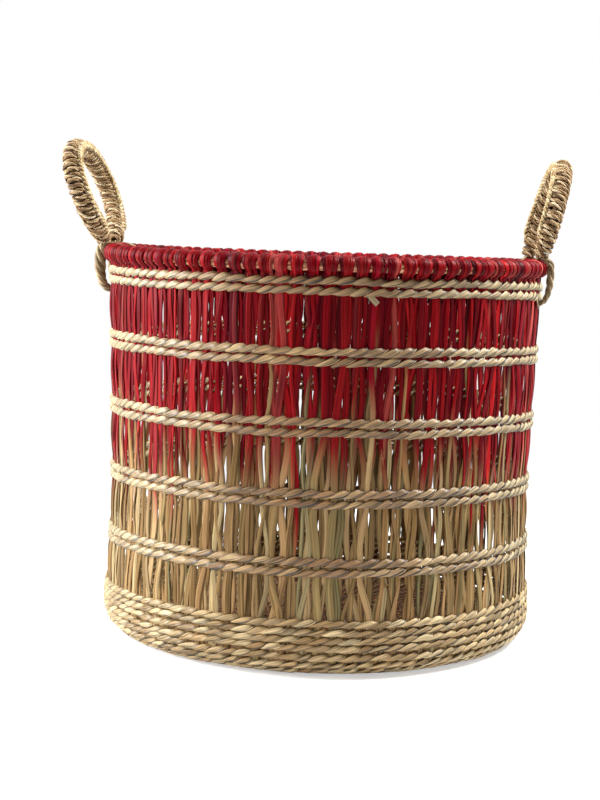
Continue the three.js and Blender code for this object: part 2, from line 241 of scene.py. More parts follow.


# Fibre of one piece. Its natural colour is picked along a ramp by the chance number in tone's red
# channel. Where the settings name dyes, the dye is picked by tone's green and ends at the height in
# tone's blue. Where they name a pale colour, the strands turn to it as tone's alpha and blue rise: a
# painted sheen, strong at the basket's lit sides and slight on the brightest strands. All is
# multiplied by tone's alpha + streaks - painted shade at the strands' edges. The streaks are long
# along the strand.
def fibreMaterial(name, look):
    material = bpy.data.materials.new(name)
    material.use_nodes = True
    tree = material.node_tree
    tree.nodes.clear()
    start = Wire(tree)
    tone = start.node("Attribute", {"attribute_name": "tone"}, {}, 0)
    light = start.node("Attribute", {"attribute_name": "tone"}, {}, 3)
    pick = start.node("SeparateColor", {}, {"Color": tone}, 0)
    dyePick = start.node("SeparateColor", {}, {"Color": tone}, 1)
    dyeLevel = start.node("SeparateColor", {}, {"Color": tone}, 2)
    uv = start.node("UVMap", {"uv_map": "UVMap"}, {})
    along = start.node("SeparateXYZ", {}, {"Vector": uv}, 0)
    turned = start.node("SeparateXYZ", {}, {"Vector": uv}, 1)
    spot = start.node("TexCoord", {}, {}, 3)
    height = start.node("SeparateXYZ", {}, {"Vector": spot}, 2)

    # The noises run round a circle, so that they close at the profile's seam.
    angle = turned * turn
    ringX, ringY = start.maths("COSINE", angle), start.maths("SINE", angle)
    fineSpot = start.node("CombineXYZ", {}, {
        0: ringX * look["streaks"] + pick * fibre["apart"][0],
        1: ringY * look["streaks"] + dyePick * fibre["apart"][1],
        2: along * look["streakAlong"],
    })
    fine = start.node("TexNoise", {}, {"Vector": fineSpot, "Scale": 1.0, "Detail": 3.0})
    broadSpot = start.node("CombineXYZ", {}, {
        0: ringX * fibre["patchRing"] + pick * fibre["apart"][2],
        1: ringY * fibre["patchRing"] + light * fibre["apart"][3],
        2: along * look["patchAlong"],
    })
    broad = start.node("TexNoise", {}, {"Vector": broadSpot, "Scale": 1.0, "Detail": 2.0})

    shift = (broad - 0.5) * look["patches"]
    place = (pick + shift).clamped()
    colour = start.node("ValToRGB", {"stops": evenStops(look["colours"])}, {0: place})
    if "dyes" in look:
        dyePlace = (dyePick + shift).clamped()
        dye = start.node("ValToRGB", {"stops": evenStops(look["dyes"])}, {0: dyePlace})
        above = (height - dyeLevel * fibre["dyeRange"]) / look["dyeEdge"]
        dyed = above + (fine - 0.5) * fibre["dyeRagged"] + 0.5
        colour = start.mix(dyed.clamped(), colour, dye)
    # Painted sheen: the strands turn pale where tone's alpha and blue are high, as the twined rows make them
    # at the basket's sides.
    if "bleached" in look:
        sheenAmount = (light - fibre["paleSheenFrom"] + dyeLevel).clamped()
        colour = start.mix(sheenAmount, colour, linear(*look["bleached"]))
    # Painted shade: darker at the sides of each strand's profile, where it meets its neighbours.
    edge = start.maths("POWER", start.maths("ABSOLUTE", ringX), fibre["edgePower"])
    level = (fine - 0.5) * look["streakDepth"] + light - edge * look["edge"]
    grey = start.node("CombineColor", {}, {0: level, 1: level, 2: level})
    colour = start.mix(1.0, colour, grey, "MULTIPLY")

    bump = start.node("Bump", {}, {
        "Strength": look["bump"], "Distance": fibre["bumpDepth"], "Height": fine,
    })
    rough = (broad - 0.5) * fibre["roughPatches"] + look["rough"]
    shader = start.node("BsdfPrincipled", {}, {
        "Base Color": colour, "Roughness": rough, "Normal": bump,
        "Specular IOR Level": look["gloss"],
    })
    start.node("OutputMaterial", {}, {"Surface": shader})
    return material


# Gives a piece its material and body, and hides the nodes whose place it takes. Its slot is not used.
def finish(piece, material, body, slot, *nodes):
    piece.data.materials.append(material)
    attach(piece, body)
    if nodes:
        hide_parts(*nodes)


# Camera: 1.4 m in front of the basket, just above the rim's level, with a slight turn and roll.
camera = {
    "place": (0.0217, -1.399, 0.354),
    "turnedBy": 1.7,  # degrees, to the left
    "pitch": 6.0,  # degrees, down
    "roll": 1.77,  # degrees
    "lens": 68.625,
    "sensor": 36,
    "nearest": 0.02,
}


def placeCamera(look):
    a, p, r = np.radians([look["turnedBy"], look["pitch"], look["roll"]])
    ahead = np.array([-np.sin(a) * np.cos(p), np.cos(a) * np.cos(p), -np.sin(p)])
    level = np.array([np.cos(a), np.sin(a), 0])
    up = np.cross(level, ahead)
    right = np.cos(r) * level + np.sin(r) * up
    up = np.cross(right, ahead)
    turned = Matrix(np.stack([right, up, -ahead], 1).tolist()).to_4x4()
    data = bpy.data.cameras.new("camera")
    data.lens = look["lens"]
    data.sensor_fit = "VERTICAL"
    data.sensor_height = look["sensor"]
    data.clip_start = look["nearest"]
    eye = bpy.data.objects.new("camera", data)
    eye.matrix_world = Matrix.Translation(look["place"]) @ turned
    bpy.context.scene.collection.objects.link(eye)
    bpy.context.scene.camera = eye


placeCamera(camera)
print("camera placed")


# Base, wall and rim of the stems. Each stem starts in the base, turns up, passes the bands, folds
# over the core and ends inside the wall.
stems = {
    "seed": 11,
    "panels": 12,
    "counts": [3, 4, 5],  # stems in a bundle, how common each count is, and a stem's width in it
    "shares": [0.34, 0.48, 0.18],
    "countWidths": [1.18, 1.0, 0.88],
    "width": (0.0028, 0.0056),
    "thickness": (0.0008, 0.0014),
    "brightness": (0.68, 1.26),
    "baseSteps": 7,
    "cornerSteps": 5,
    "footSteps": 3,
    "gapSteps": 7,
    "tailSteps": 4,
    # A bundle's width out of the room that it has, a stem's width, and the place along the bands.
    "inBase": (0.9, 1.0, 5.6),
    "atCorner": (0.75, 0.95, 5.5),
    "atFoot": (0.72, 0.95, 5.0),
    "gather": 0.72,  # a bundle's width at the bands, and in each gap from the top
    "open": [1.04, 1.04, 1.02, 1.0, 0.96],
    "spread": 0.006,  # how soon a bundle spreads past a band
    "held": 0.93,  # a stem's width at the bands, what it gains in all gaps, and in each from the top
    "loose": 0.07,
    "looser": [0, 0, 0, 0.08, 0.08],
    "pastBand": 0.0002,  # how far past a band's edges the bundles are still held
    "pressed": 0.5,  # depth of the layers where the twining holds them, and in the fold
    "foldLayers": 0.35,
    "neck": 0.74,  # widths at the neck, and how far it stands out and up from the wall's top
    "neckOut": 0.0004,
    "neckUp": 0.0006,
    "shuffle": 0.32,  # how much the stems of a bundle change places from band to band
    "strays": [0, 0.03, 0.06, 0.1, 0.16, 0.18, 0],  # share that leans to the next bundle at each band
    "strayBy": (0.2, 0.55),
    "wander": 0.00035,  # sideways: a stem in a gap, a stretch of the wall, and a stem at a band
    "lean": 0.0004,
    "leanWaves": (3, 30),
    "bandShift": 0.0004,
    "standOut": 0.0005,  # of all stems from the wall's line
    "layer": 0.00075,  # from one layer to the next, and how far each stem varies
    "layerVaries": 0.3,
    "bow": 0.0009,  # outward in a gap, and the shares of it that the stems take
    "bowVaries": (-0.3, 1.0),
    "tip": 0.22,  # how far a stem rolls in a gap
    "crowded": 0.16,  # radius below which the stems narrow, and the narrowest that they get
    "narrowest": 0.35,
    "foldAcross": 0.0063,  # the fold's half width and half height, and how much deeper it is below the core
    "foldUp": 0.0059,
    "foldDrop": 1.14,
    "foldAngles": [-80, -62, -40, -18, 4, 26, 50, 75, 100, 125, 150, 180],  # degrees, 90 on the crest
    "shareAngles": [-62, -18, 26, 60, 125, 180],
    "foldShares": [0.72, 0.8, 0.92, 0.99, 1.0, 0.9],  # a pillow's width, from its foot over the crest
    "foldWidth": 1.3,  # widening and thickening of the stems in the fold
    "foldDepth": 1.15,
    "crown": 0.0009,  # height of the arch across a pillow, and how it falls to the pillow's sides
    "crownFall": 1.4,
    "lift": 0.004,  # of the rim by the left handle, and how wide that is
    "liftWidth": 0.72,
    "liftFrom": (0.4, 0.8),  # how the lift grows from the fold's foot
    "starts": [0.003, 0.105, 0.055, 0.13, 0.03, 0.12, 0.07, 0.14],  # inner ends in the base
    "startsVary": 0.002,
    "tail": (0.2995, 0.3065),  # heights of the ends inside the wall
    "tailRadius": 0.1871,
    "tailOut": 0.0036,  # how far a tail runs out to the wall, and how much it narrows
    "tailNarrows": 0.1,
}
stemProfile = np.array([
    (1, 0), (0.82, 0.72), (0.4, 1.0), (0, 0.74), (-0.4, 1.0), (-0.82, 0.72),
    (-1, 0), (-0.7, -0.8), (0, -1), (0.7, -0.8),
])


# Line of a stem as radius, height, share of the full bundle width, width of a stem, depth of the
# layers, and the place along the bands (0 at the rim, 5 at the foot) for every station. In the base
# the first is the share of the way out, and in the tail the last is minus the share of the way down.
def stemStations(look):
    pressed = look["pressed"]
    share, wide, knot = look["inBase"]
    rows = [(t, None, share, wide, pressed, knot) for t in np.linspace(0, 1, look["baseSteps"] + 1)[:-1]]
    share, wide, knot = look["atCorner"]
    for a in np.linspace(0, turn / 4, look["cornerSteps"] + 1):
        r = cornerMiddle + basket["cornerRadius"] * np.sin(a)
        z = cornerLevel - basket["cornerRadius"] * np.cos(a)
        rows.append((r, z, share, wide, pressed, knot))
    share, wide, knot = look["atFoot"]
    for z in np.linspace(cornerLevel, basket["footTop"], look["footSteps"] + 1)[1:]:
        rows.append((wallRadius(z), z, share, wide, pressed, knot))
    tops = basket["bandLevels"]
    halfBand = basket["rowHeight"] + look["pastBand"]
    low = basket["footTop"]
    for k in reversed(range(len(tops))):
        high = tops[k] - halfBand
        for t in np.linspace(0, 1, look["gapSteps"] + 1)[1:]:
            z = low + (high - low) * t
            free = 1 - np.exp(-min(z - low, high - z) / look["spread"])
            share = look["gather"] + (look["open"][k] - look["gather"]) * free
            wide = look["held"] + look["loose"] * free + look["looser"][k] * free
            rows.append((wallRadius(z), z, share, wide, pressed + (1 - pressed) * free, k + 1 - t))
        for z in (tops[k], tops[k] + halfBand):
            rows.append((wallRadius(z), z, look["gather"], look["held"], pressed, float(k)))
        low = tops[k] + halfBand

    layers = look["foldLayers"]
    r, z = basket["rimRadius"] + look["neckOut"], basket["neckLevel"] + look["neckUp"]
    rows.append((r, z, look["neck"], look["neck"], layers, 0.0))
    for a in np.radians(look["foldAngles"]):
        r = basket["rimRadius"] + look["foldAcross"] * np.cos(a)
        z = basket["rimLevel"] + look["foldUp"] * np.sin(a) * (look["foldDrop"] if a < 0 else 1.0)
        share = np.interp(a, np.radians(look["shareAngles"]), look["foldShares"])
        rows.append((r, z, share, share, layers, 0.0))
    for t in np.linspace(0, 1, look["tailSteps"] + 1)[1:]:
        share = look["foldShares"][-1] - look["tailNarrows"] * t
        rows.append((look["tailRadius"] + look["tailOut"] * t, None, share, share, layers, -t))
    return rows


def bellAt(angle, middle, width):  # 1 at the middle angle, falling off as exp(-(angle / width) ** 2)
    away = (np.asarray(angle) - middle + np.pi) % turn - np.pi
    return np.exp(-(away / width) ** 2)


def rimLift(angle):  # the left handle pulls the rim up
    return stems["lift"] * bellAt(angle, np.pi, stems["liftWidth"])


# Where the red ends on the stems.
dipDye = {
    "end": 0.177,  # height for most stems, in the third gap, and how far they vary
    "spread": 0.013,
    "waves": 0.009,  # rise and fall round the basket
    "waveCounts": (2, 12),
    "sideDrop": 0.034,  # how much lower the red ends at the basket's sides
    # A few stems differ: their share, how much less that is at the sides, and their lowest and highest end.
    "others": [(0.07, 0, 0.1, 0.15), (0.15, 0.08, 0.2, 0.246), (0.03, 0.02, 0.25, 0.275)],
}


# Height = end + chance + waves of the angle - sideDrop * cos(angle) ** 2, or one of the others'.
def dyeEnds(dice, look, angle):
    n = len(angle)
    side = np.cos(angle) ** 2
    ends = dice.normal(look["end"], look["spread"], n)
    ends = ends + look["waves"] * ripple(dice, angle, *look["waveCounts"]) - look["sideDrop"] * side
    for share, less, lowest, highest in look["others"]:
        chosen = dice.random(n) < share - less * side
        ends = np.where(chosen, dice.uniform(lowest, highest, n), ends)
    return ends


def makeStems(look):
    dice = np.random.default_rng(look["seed"])
    counts = dice.choice(look["counts"], basket["bundles"], p=look["shares"])
    bundle = np.repeat(np.arange(basket["bundles"]), counts)
    many = np.repeat(counts, counts)
    firsts = np.repeat(np.cumsum(counts) - counts, counts)
    rank = np.arange(len(bundle)) - firsts
    n = len(bundle)
    angle0 = (bundle + 0.5) * pitch

    # Order of the stems in their bundle at the rim, at each band and at the foot.
    slots = []
    for k, strays in enumerate(look["strays"]):
        keys = rank / many + dice.normal(0, look["shuffle"] if k else 0.0, n)
        order = np.lexsort((keys, bundle))
        place = np.empty(n)
        place[order] = np.arange(n) - firsts
        stray = (dice.random(n) < strays) * dice.choice([-1, 1], n) * dice.uniform(*look["strayBy"], n)
        slots.append((place + 0.5) / many - 0.5 + stray)
    slots = np.stack(slots, 1)

    rows = stemStations(look)
    steps = len(rows)
    share, widthShare, layerShare, knot = (np.array([row[c] for row in rows]) for c in (2, 3, 4, 5))
    r = np.zeros((n, steps))
    z = np.zeros((n, steps))
    vary = look["startsVary"]
    starts = np.array(look["starts"])[bundle % len(look["starts"])] + dice.uniform(-vary, vary, n)
    tails = dice.uniform(*look["tail"], n)
    for i, row in enumerate(rows):
        r[:, i] = row[0]
        if knot[i] < 0:
            z[:, i] = basket["rimLevel"] + knot[i] * (basket["rimLevel"] - tails)
        elif row[1] is None:
            r[:, i] = starts + (cornerMiddle - starts) * row[0]
            z[:, i] = basket["spokeLevel"]
        else:
            z[:, i] = row[1]
    overRim = len(look["foldAngles"]) + look["tailSteps"]
    first, full = look["liftFrom"]
    z[:, -overRim:] += rimLift(angle0)[:, None] * np.linspace(first, 1, overRim).clip(0, full)[None] / full

    # Across: the place in the bundle runs straight from band to band, and the bundle spreads.
    gaps = len(basket["bandLevels"])
    at = np.maximum(knot, 0)
    lower = at.astype(int)
    part = at - lower
    slot = slots[:, lower] * (1 - part) + slots[:, lower + 1] * part
    gapPlace = np.where((knot > 0) & (knot < gaps), np.sin(np.pi * part), 0.0)
    gapIndex = np.minimum(lower, gaps - 1)
    wander = dice.normal(0, look["wander"], (n, gaps))
    lean = np.stack([ripple(dice, angle0, *look["leanWaves"]) for k in range(gaps)], 1) * look["lean"]
    atBand = dice.normal(0, look["bandShift"], slots.shape)
    shift = (wander + lean)[:, gapIndex] * gapPlace
    shift = shift + atBand[:, lower] * (1 - part) + atBand[:, lower + 1] * part
    across = slot * share * pitchWidth + shift
    angle = angle0[:, None] + across / basket["rimRadius"]

    # In and out: stems of a bundle lie in layers, and bow out a little between the bands.
    vary = look["layerVaries"]
    layer = ((rank * 2) % 3 - 1 + dice.uniform(-vary, vary, n)) * look["layer"]
    bow = dice.uniform(*look["bowVaries"], (n, gaps)) * look["bow"]
    offset = layer[:, None] * layerShare + bow[:, gapIndex] * gapPlace + look["standOut"]
    crown = look["crown"] * (1 - look["crownFall"] * (2 * slot) ** 2)
    onFold = np.arange(steps) >= steps - overRim - 1
    offset = np.where(onFold, layer[:, None] * layerShare + crown, offset)
    dr, dz = np.gradient(r, axis=1), np.gradient(z, axis=1)
    normal = unit(np.stack([dz, -dr], -1))
    r = r + offset * normal[..., 0]
    z = z + offset * normal[..., 1]

    centres = around(angle, r, z)
    outward = around(angle, normal[..., 0], normal[..., 1])
    sideways = np.stack([-np.sin(angle), np.cos(angle), np.zeros_like(angle)], -1)
    tip = dice.normal(0, look["tip"], (n, gaps))[:, gapIndex] * gapPlace + slot * onFold
    outward = outward * np.cos(tip)[..., None] + sideways * np.sin(tip)[..., None]

    width = dice.uniform(*look["width"], n) * np.interp(many, look["counts"], look["countWidths"])
    full = look["foldWidth"] * pitchWidth / many[:, None] / 2
    halfWidth = np.where(onFold, full * widthShare, width[:, None] / 2 * widthShare)
    halfWidth = halfWidth * np.clip(r / look["crowded"], look["narrowest"], 1)
    thickness = dice.uniform(*look["thickness"], n)
    halfDepth = thickness[:, None] / 2 * np.where(onFold, look["foldDepth"], 1.0)

    dyed = dyeEnds(dice, dipDye, angle0) / fibre["dyeRange"]
    tone = np.stack([dice.random(n), dice.random(n), dyed, dice.uniform(*look["brightness"], n)], -1)
    panels = bundle // (basket["bundles"] // look["panels"])
    for panel in range(look["panels"]):
        own = panels == panel
        piece = sweep(
            f"stems_{panel + 1:02d}", centres[own], outward[own], halfWidth[own], halfDepth[own],
            stemProfile, tone[own][:, None, :].repeat(steps, 1),
        )
        finish(piece, stemFibre, "basket", "stems", f"stakes_{panel + 1:02d}")


stemLook = {
    "colours": [(140, 114, 75), (116, 90, 54), (144, 113, 72), (110, 104, 70), (168, 145, 105),
                (146, 115, 78), (128, 97, 60)],
    "dyes": [(78, 0, 12), (106, 0, 10), (130, 8, 14), (84, 0, 9), (150, 20, 22), (98, 0, 20),
             (158, 62, 54)],
    "streaks": 1.3, "streakAlong": 6.0, "streakDepth": 2.3, "patches": 0.14, "patchAlong": 22.0,
    # The edge value paints shade along each stem's edges.
    "dyeEdge": 0.042, "bump": 0.7, "rough": 0.42, "gloss": 0.06, "edge": 0.25,
}
stemFibre = fibreMaterial("rush_stem", stemLook)
makeStems(stems)
print("stems made")


# One twined row: two weavers half a turn apart wind round the row's line as it goes round the
# basket. Weaver = row + outward * reach * tanh(flat * (cos(phase) + lead)) + up the wall * (rise * (a
# slanted wave: a long climb outside the stems and a quick fall inside) - dips at the right and the
# left). The phase makes half a turn for each bundle, so each stroke passes outside every other bundle,
# with its ends beside its neighbours'.
weavers = {
    "reach": 0.0019,
    "reachVaries": (-0.12, 0.2),
    "lead": 0.6,
    "flat": 2.4,
    "slant": 0.7,
    "rise": 0.0023,
    "riseVaries": 0.3,
    "riseWaves": (4, 40),
    "bend": 0.35,  # how far the strokes run ahead or behind
    "bendWaves": 5,  # the fewest round the basket
    "halfWidth": 0.0029,
    "widthVaries": 0.16,
    "squash": (0.66, 0.34, 0.16),  # width inside the stems, more outside, and more on the climb
    "halfDepth": 0.0013,
    "bulk": (0.9, 0.2),  # depth inside the stems, and more outside
    "turned": 0.85,  # how much the phase slows in front, where a weaver lies flat on the stems
    "steps": 14,  # for each turn of a weaver
    "wander": 0.0003,  # up and down: a stretch of the row, and one stroke
    "wanderWaves": (2, 14),
    "strokeVaries": 0.0005,
    "brightness": (0.84, 1.14),
    "dips": (0, 0),  # at the right and at the left, and their width as an angle
    "dipWidth": 0.5,
    "inset": 0,  # added inside the stems
    "pale": 0,  # added brightness everywhere, painted light at the basket's sides, and a painted pale sheen there
    "sidesPale": 0,
    "bleach": 0,
}
weaverProfile = np.array([
    (1, 0), (0.86, 0.6), (0.55, 1.0), (0.2, 0.52), (-0.12, 0.98), (-0.46, 0.5), (-0.78, 0.74),
    (-1, 0), (-0.6, -0.85), (0, -1), (0.6, -0.85),
])


def rowPaths(dice, look, r, z, slope, bundles):
    steps = look["steps"] * bundles // 2
    angle = turn * np.arange(steps) / steps
    angle = np.stack([angle, angle])
    bend = look["bend"] * ripple(dice, angle[0], look["bendWaves"], bundles // 2)
    phase = angle * bundles / 2 - turn / 4 + bend + np.array([[0], [turn / 2]])
    stroke = np.floor((phase - bend) / turn + 0.5).astype(int) % (bundles // 2)
    strand = np.array([[0], [1]]) * np.ones_like(stroke)
    front = 0.5 + 0.5 * np.cos(phase)  # 1 outside the stems, 0 inside them

    def chance(low, high):  # one number for each stroke
        return dice.uniform(low, high, (2, bundles // 2))[strand, stroke]

    reach = look["reach"] * (1 + chance(*look["reachVaries"]) * front)
    rise = look["rise"] * (1 + look["riseVaries"] * ripple(dice, angle, *look["riseWaves"]))
    out = reach * np.tanh(look["flat"] * (np.cos(phase) + look["lead"]))
    slant = look["slant"]
    climb = np.arctan2(slant * np.sin(phase), 1 + slant * np.cos(phase)) / np.arcsin(slant)
    up = rise * climb + chance(-1, 1) * look["strokeVaries"] * front
    up = up + look["wander"] * 2 * ripple(dice, angle[0], *look["wanderWaves"])
    for middle, dip in zip((0, np.pi), look["dips"]):
        up = up - dip * bellAt(angle, middle, look["dipWidth"])
    out = out + look["inset"] * (1 - front)
    n = np.array([np.cos(slope), -np.sin(slope)])  # slope 0 on the wall, a quarter turn underneath
    s = np.array([np.sin(slope), np.cos(slope)])
    centres = around(angle, r + out * n[0] + up * s[0], z + out * n[1] + up * s[1])
    facing = phase - look["turned"] * np.sin(phase)
    c, d = np.cos(facing), np.sin(facing)
    outward = around(angle, c * n[0] + d * s[0], c * n[1] + d * s[1])
    inside, more, climbing = look["squash"]
    squash = inside + more * front + climbing * np.sin(phase)
    vary = look["widthVaries"]
    halfWidth = look["halfWidth"] * squash * (1 + chance(-vary, vary) * front)
    thin, thicker = look["bulk"]
    halfDepth = look["halfDepth"] * (thin + thicker * front)
    # Painted light: tone's blue and part of its alpha grow towards the basket's left and right sides, so the
    # rows there look lit and paler.
    tone = np.stack([
        chance(0, 1), chance(0, 1), look["bleach"] * abs(np.cos(angle)),
        chance(*look["brightness"]) + look["pale"] + look["sidesPale"] * np.cos(angle) ** 2,
    ], -1)
    return centres, outward, halfWidth, halfDepth, tone


def makeRow(name, seed, look, r, z, slope, nodes, material):
    dice = np.random.default_rng(seed)
    paths = rowPaths(dice, look, r, z, slope, basket["bundles"])
    piece = sweep(name, *paths[:4], weaverProfile, paths[4], loop=True)
    finish(piece, material, "basket", "weavers", *nodes)


bandLook = {
    "colours": [(120, 85, 49), (155, 116, 73), (131, 97, 56), (178, 145, 98), (126, 90, 54)],
    "streaks": 1.7, "streakAlong": 34.0, "streakDepth": 3.0, "patches": 0.3, "patchAlong": 60.0,
    # Painted shade at the strands' edges, and the pale colour of a painted sheen at the basket's sides.
    "bump": 1.0, "rough": 0.46, "gloss": 0.55, "edge": 0.8, "bleached": (158, 146, 112),
}
footLook = bandLook | {
    "colours": [(148, 115, 70), (180, 152, 108), (136, 105, 62), (204, 182, 138), (162, 130, 86)],
    # Painted shade at the strands' edges, and the pale colour of a painted sheen at the basket's sides.
    "gloss": 0.4, "edge": 0.55, "bleached": (184, 166, 120),
}
bandFibre = fibreMaterial("twined_weaver", bandLook)
footFibre = fibreMaterial("foot_weaver", footLook)
baseFibre = fibreMaterial("base_weaver", bandLook | {
    "colours": [(130, 88, 48), (158, 114, 66), (112, 74, 42), (170, 128, 80), (136, 92, 56)],
})


# Bands from the top. Each sags at the right and at the left handle.
bands = {
    "seed": 100,
    "dips": [(0.0048, 0), (0.004, 0), (0.0052, 0.0022), (0.0046, 0.005), (0.002, 0.005)],
    "insets": [-0.0016, 0, 0, 0, 0],  # the top band goes round the stems' tucked ends too
    "pale": [0.1, 0.04, 0.04, 0, 0],
    # Painted light and a painted pale sheen on the bands at the basket's sides.
    "rows": {"sidesPale": 0.2, "bleach": 0.7},
}


def makeBands(look):
    half = basket["rowHeight"] / 2
    for k, middle in enumerate(basket["bandLevels"]):
        own = weavers | look["rows"] | {
            "dips": look["dips"][k], "inset": look["insets"][k], "pale": look["pale"][k],
        }
        upper, lower, inner = (f"band_{k + 1}_{row}" for row in ("upper_row", "lower_row", "inner_rows"))
        for i, (z, nodes) in enumerate([(middle + half, [upper]), (middle - half, [lower, inner])]):
            seed = look["seed"] + 2 * k + i
            makeRow(f"{nodes[0]}_twined", seed, own, wallRadius(z), z, 0.0, nodes, bandFibre)


# Rows of the foot from the top: the middle of each row's seat, and how far it has turned under.
foot = {
    "seed": 200,
    "upright": [0.04522, 0.03846, 0.03172, 0.02500],
    "turned": [11.25, 33.75, 56.25, 78.75],  # degrees round the corner, 0 on the wall
    "under": 0.1701,  # radius of the last row, under the base
    # The last value paints a pale sheen on the foot's rows at the basket's sides.
    "rows": {"halfWidth": 0.0025, "rise": 0.0019, "bleach": 0.45},
    "loose": {"reach": 0.0023, "wander": 0.0005},  # on the wall and round the corner
    "tight": {"reach": 0.0015, "wander": 0.0002},  # underneath
    "tightFrom": 1.2,  # radians round the corner
    "dip": (0.0052, 0.0013),  # of the top row at the left, and how much less for each row below
}


def makeFoot(look):
    rows = [(wallRadius(z), z, 0.0) for z in look["upright"]]
    for a in np.radians(look["turned"]):
        rows.append((cornerMiddle + basket["cornerRadius"] * np.cos(a),
                     cornerLevel - basket["cornerRadius"] * np.sin(a), a))
    rows.append((look["under"], basket["spokeLevel"], turn / 4))
    dip, less = look["dip"]
    for k, (r, z, a) in enumerate(rows):
        own = weavers | look["rows"] | look["loose" if a < look["tightFrom"] else "tight"]
        own = own | {"dips": (0, max(dip - less * k, 0))}
        nodes = [f"foot_row_{k + 1}"] + (["foot_inner_twining"] if k == 0 else [])
        makeRow(f"foot_row_{k + 1}_twined", look["seed"] + k, own, r, z, a, nodes, footFibre)


# Twined rings of the base, on half as many bundles from each of three radii inward.
base = {
    "seed": 300,
    "first": 0.1624,
    "last": 0.0005,
    "spacing": 0.0062,
    "halvedAt": [0.09, 0.045, 0.022],
    "rows": {"halfWidth": 0.0031, "rise": 0.0016, "reach": 0.0014, "halfDepth": 0.001, "steps": 8},
}


def makeBase(look):
    rings = list(enumerate(np.arange(look["first"], look["last"], -look["spacing"])))
    for side, node in enumerate(["base_lower_twining", "base_upper_twining"]):
        pieces = []
        for k, r in rings[side::2]:
            dice = np.random.default_rng(look["seed"] + k)
            halved = [radius for radius in look["halvedAt"] if r <= radius]
            bundles = basket["bundles"] // 2 ** len(halved)
            ring = rowPaths(dice, weavers | look["rows"], r, basket["spokeLevel"], turn / 4, bundles)
            pieces.append(sweep(f"{node}_{len(pieces)}", *ring[:4], oval(7), ring[4], loop=True))
        finish(joined(f"{node}_rings", pieces), baseFibre, "basket", "weavers", node)


def joined(name, pieces):
    with bpy.context.temp_override(active_object=pieces[0], selected_editable_objects=pieces):
        bpy.ops.object.join()
    pieces[0].name = pieces[0].data.name = name
    return pieces[0]


makeBands(bands)
makeFoot(foot)
makeBase(base)
print("twined rows made")


# Ends under the top band that stand away from the wall, more towards their tips: a stub and three
# frayed strands.
cutEnds = {
    # Angle, height, run sideways and upward, half width.
    "ends": [
        (-1.378, 0.3125, 0.0074, -0.0076, 0.0024),
        (-0.300, 0.3115, 0.0012, -0.0105, 0.0013),
        (-0.284, 0.3120, -0.0014, -0.0125, 0.0010),
        (-0.318, 0.3115, 0.0021, -0.0075, 0.0009),
    ],
    "standOff": 0.0012,
    "splay": 0.0022,
    "flare": 0.1,
    "halfDepth": 0.0007,
    "steps": 6,
    "tone": 0.8,
}


def makeCutEnds(look):
    angle0, top, aside, run, halfWidth = np.array(look["ends"]).T[:, :, None]
    t = np.linspace(0, 1, look["steps"])
    angle = angle0 + aside * t / basket["rimRadius"]
    z = top + run * t
    r = wallRadius(z) + look["standOff"] + look["splay"] * t
    tone = np.full((*angle.shape, 4), look["tone"])
    piece = sweep("cut_ends", around(angle, r, z), around(angle, 1, 0),
                  halfWidth * (1 + look["flare"] * t), look["halfDepth"], oval(8), tone)
    finish(piece, bandFibre, "basket", "weavers")


makeCutEnds(cutEnds)
print("cut ends made")


# Rim core: natural stems that run round inside the folds, slightly twisted.
core = {
    "seed": 17,
    "strands": 6,
    "radius": 0.0031,  # from the core's middle to a strand's
    "radiusVaries": 0.12,
    "strand": 0.0021,
    "twists": 9,
    "setIn": 0.0003,  # inward and down
    "steps": 480,
    "brightness": (0.9, 1.1),
}


# Chance colours and brightness of whole strands, the same at every step.
def strandTones(dice, count, steps, brightness):
    tone = np.stack([dice.random(count), dice.random(count), np.zeros(count),
                     dice.uniform(*brightness, count)], -1)
    return tone[:, None].repeat(steps, 1)


def makeCore(look):
    dice = np.random.default_rng(look["seed"])
    angle = turn * np.arange(look["steps"]) / look["steps"]
    own = turn * np.arange(look["strands"])[:, None] / look["strands"]
    phase = own + look["twists"] * angle
    angle = np.broadcast_to(angle, phase.shape)
    ring = look["radius"] * (1 + look["radiusVaries"] * ripple(dice, angle, 3, 30))
    r = basket["rimRadius"] - look["setIn"] + ring * np.cos(phase)
    z = basket["rimLevel"] - look["setIn"] + ring * np.sin(phase)
    outward = around(angle, np.cos(phase), np.sin(phase))
    tone = strandTones(dice, look["strands"], look["steps"], look["brightness"])
    piece = sweep("rim_core_stems", around(angle, r, z), outward, look["strand"], look["strand"], oval(7),
                  tone, loop=True)
    finish(piece, coreFibre, "basket", "rim_core", "rim_core")


coreFibre = fibreMaterial("core_stem", stemLook | {
    "colours": [(206, 170, 128), (196, 150, 116)],
    "dyes": [(200, 140, 108)] * 2,
})
makeCore(core)
print("rim core made")


